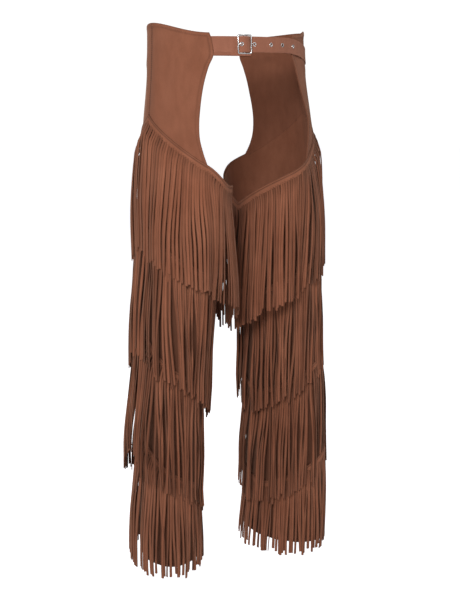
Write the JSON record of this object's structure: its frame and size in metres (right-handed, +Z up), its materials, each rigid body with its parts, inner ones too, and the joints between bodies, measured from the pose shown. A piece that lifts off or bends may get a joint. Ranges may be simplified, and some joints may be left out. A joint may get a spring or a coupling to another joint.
{
  "type": "fringed suede chaps",
  "caption": "Worn-form suede cowboy chaps with hip yokes, a buckled waist belt, an open front and seat, and full legs covered in slanting tiers of long fringe.",
  "frame": {"origin": "middle of the wearer's waist, at the height of the belt", "axes": "+X to the wearer's left, -Y to the front, +Z up"},
  "size_m": [0.3912, 0.2276, 0.985],
  "materials": {
    "suede": "brushed matt suede, warm brown",
    "fringe": "cut suede strands, warm brown, matt",
    "steel": "polished nickel plate"
  },
  "bodies": {
    "root": {"yoke_front_right": "suede", "yoke_front_left": "suede", "yoke_back_right": "suede", "yoke_back_left": "suede", "leg_panel_front_right": "suede", "leg_panel_front_left": "suede", "leg_panel_back_right": "suede", "leg_panel_back_left": "suede", "fringe_1_front_right": "fringe", "fringe_1_front_left": "fringe", "fringe_1_back_right": "fringe", "fringe_1_back_left": "fringe", "fringe_2_front_right": "fringe", "fringe_2_front_left": "fringe", "fringe_2_back_right": "fringe", "fringe_2_back_left": "fringe", "fringe_3_front_right": "fringe", "fringe_3_front_left": "fringe", "fringe_3_back_right": "fringe", "fringe_3_back_left": "fringe", "fringe_4_front_right": "fringe", "fringe_4_front_left": "fringe", "fringe_4_back_right": "fringe", "fringe_4_back_left": "fringe", "belt_strap": "suede", "buckle_strap": "suede", "back_strap": "suede", "buckle_frame": "steel", "buckle_prong": "steel", "eyelet_1": "steel", "eyelet_2": "steel", "eyelet_3": "steel", "eyelet_4": "steel", "eyelet_5": "steel"}
  },
  "joints": []
}
